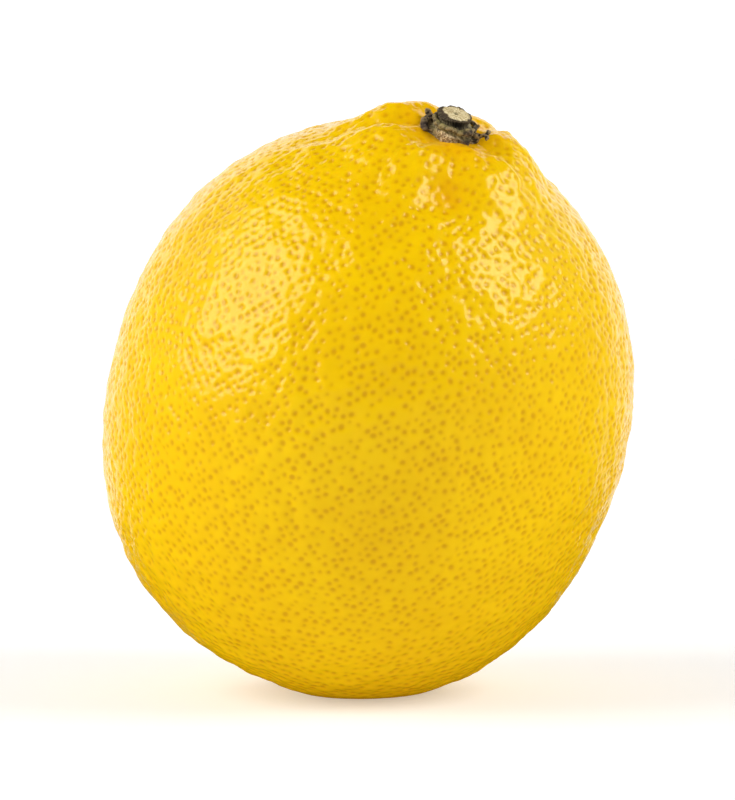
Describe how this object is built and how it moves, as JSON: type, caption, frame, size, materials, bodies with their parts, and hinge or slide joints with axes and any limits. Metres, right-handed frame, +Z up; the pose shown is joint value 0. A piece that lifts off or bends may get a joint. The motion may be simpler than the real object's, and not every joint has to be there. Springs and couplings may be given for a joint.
{
  "type": "lemon",
  "caption": "Ripe yellow lemon, nearly round, with a raised collar and dry calyx at the stem end and a small blossom nipple; it stands on a small flat spot.",
  "frame": {"origin": "on the floor plane, under the middle of the bounding box seen from above", "axes": "+Z up; -Y is the front, the side the stem end leans towards; +X is to the right seen from the front"},
  "size_m": [0.0634, 0.0648, 0.0711],
  "materials": {
    "peel": "waxy, softly glossy, pitted with fine oil pores",
    "calyx": "dry, matte, granular olive brown",
    "stem": "dry, matte; dark bark with a pale cut end"
  },
  "bodies": {
    "root": {"fruit": "peel", "calyx": "calyx", "stem_stub": "stem"}
  },
  "joints": []
}
